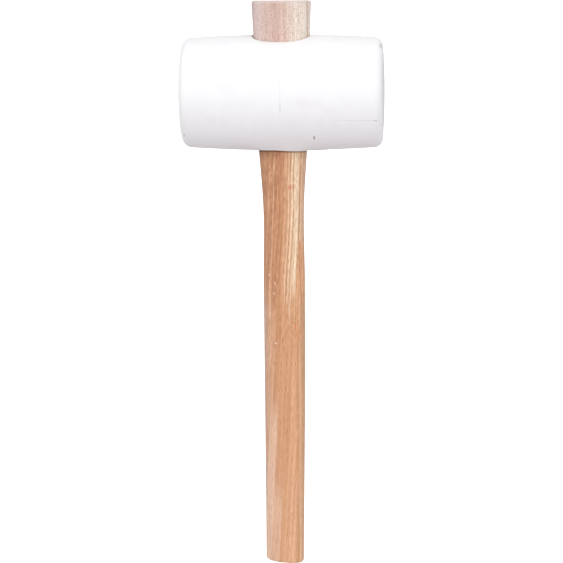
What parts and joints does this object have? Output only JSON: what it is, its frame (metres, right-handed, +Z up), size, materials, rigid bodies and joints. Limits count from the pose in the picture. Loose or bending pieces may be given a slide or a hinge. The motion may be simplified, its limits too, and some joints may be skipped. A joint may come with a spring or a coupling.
{
  "type": "rubber mallet",
  "caption": "Slip-through rubber mallet: a white barrel-shaped rubber head on a tapered hardwood handle whose flared end stands above the head.",
  "frame": {"origin": "on the handle's axis, level with the lowest line of the head's underside, where a rack or a pair of hooks carries the mallet", "axes": "+Z up the handle from the butt to the head, +X along the head from one striking face to the other, +Y across the head"},
  "size_m": [0.158, 0.09, 0.4441],
  "materials": {
    "white_rubber": "matte moulded rubber",
    "hardwood": "sanded, thin oil"
  },
  "bodies": {
    "head": {"head": "white_rubber"},
    "handle": {"handle": "hardwood"}
  },
  "joints": [
    {"name": "handle_draw", "type": "slide", "parent": "head", "child": "handle", "axis": [0, 0, 1], "range_m": [0, 0.42]}
  ]
}
